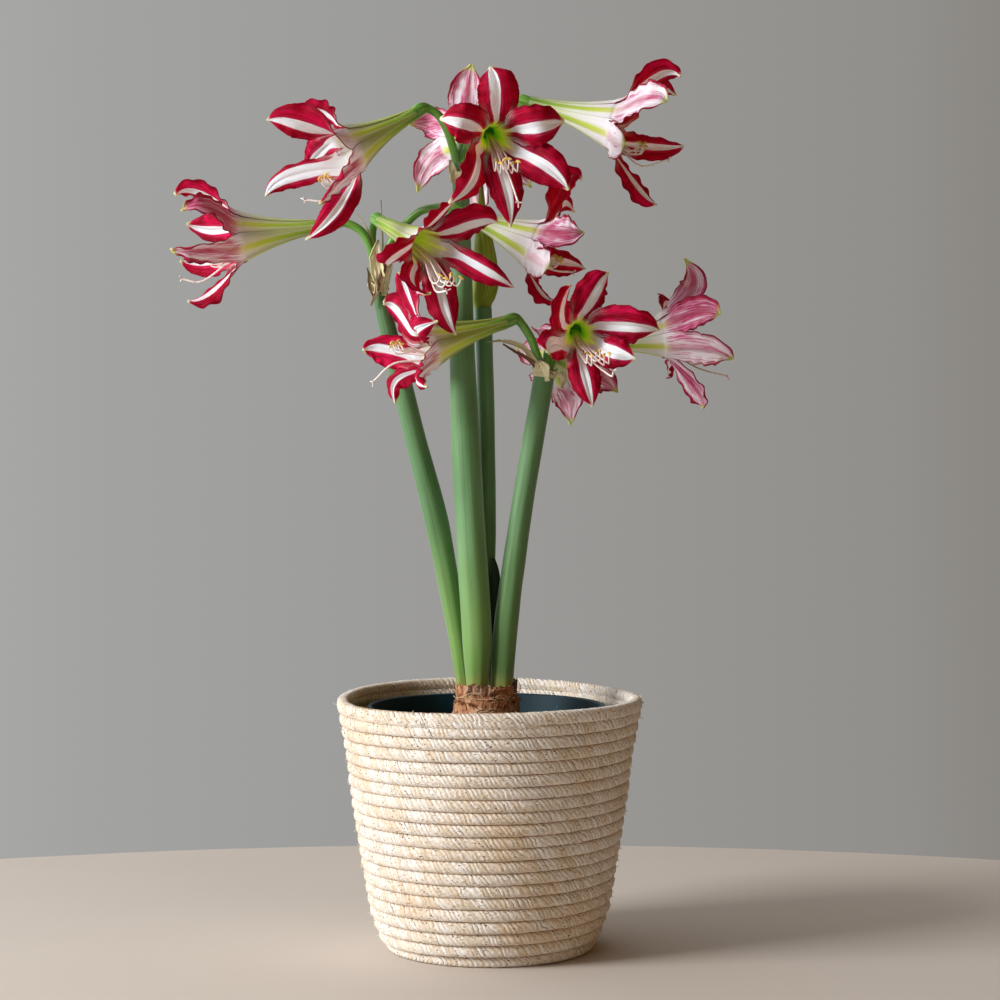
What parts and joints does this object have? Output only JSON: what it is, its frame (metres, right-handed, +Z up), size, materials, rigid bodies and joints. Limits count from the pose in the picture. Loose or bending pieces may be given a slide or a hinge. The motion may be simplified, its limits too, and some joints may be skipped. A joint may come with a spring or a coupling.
{
  "type": "amaryllis in a pot",
  "caption": "Potted amaryllis in full bloom: tall flower stems with striped trumpet flowers rise from a bulb in a plastic nursery pot set inside a coiled husk-rope basket.",
  "frame": {"origin": "middle of the basket's flat underside, where it rests", "axes": "+Z up, +X to the right seen from the front, +Y away from someone standing in front"},
  "size_m": [0.4132, 0.2258, 0.6637],
  "materials": {
    "husk_rope": "matte",
    "pot_plastic": "satin",
    "soil": "matte",
    "bulb_skin": "matte",
    "stem": "satin",
    "leaf": "satin",
    "bud": "satin",
    "dry_bract": "matte",
    "petal": "satin",
    "stamen": "matte"
  },
  "bodies": {
    "root": {"basket": "husk_rope", "inner_pot": "pot_plastic", "soil": "soil", "bulb": "bulb_skin", "scape_left": "stem", "scape_centre": "stem", "scape_right": "stem", "scape_back": "stem", "young_leaf": "leaf", "closed_bud": "bud", "spathe_left": "dry_bract", "spathe_centre": "dry_bract", "spathe_right": "dry_bract", "flower_left_1": "petal", "flower_left_2": "petal", "flower_left_3": "petal", "flower_centre_1": "petal", "flower_centre_2": "petal", "flower_centre_3": "petal", "flower_centre_4": "petal", "flower_right_1": "petal", "flower_right_2": "petal", "flower_right_3": "petal", "flower_right_4": "petal", "stamens_left_1": "stamen", "stamens_left_2": "stamen", "stamens_left_3": "stamen", "stamens_centre_1": "stamen", "stamens_centre_2": "stamen", "stamens_centre_3": "stamen", "stamens_centre_4": "stamen", "stamens_right_1": "stamen", "stamens_right_2": "stamen", "stamens_right_3": "stamen", "stamens_right_4": "stamen"}
  },
  "joints": []
}
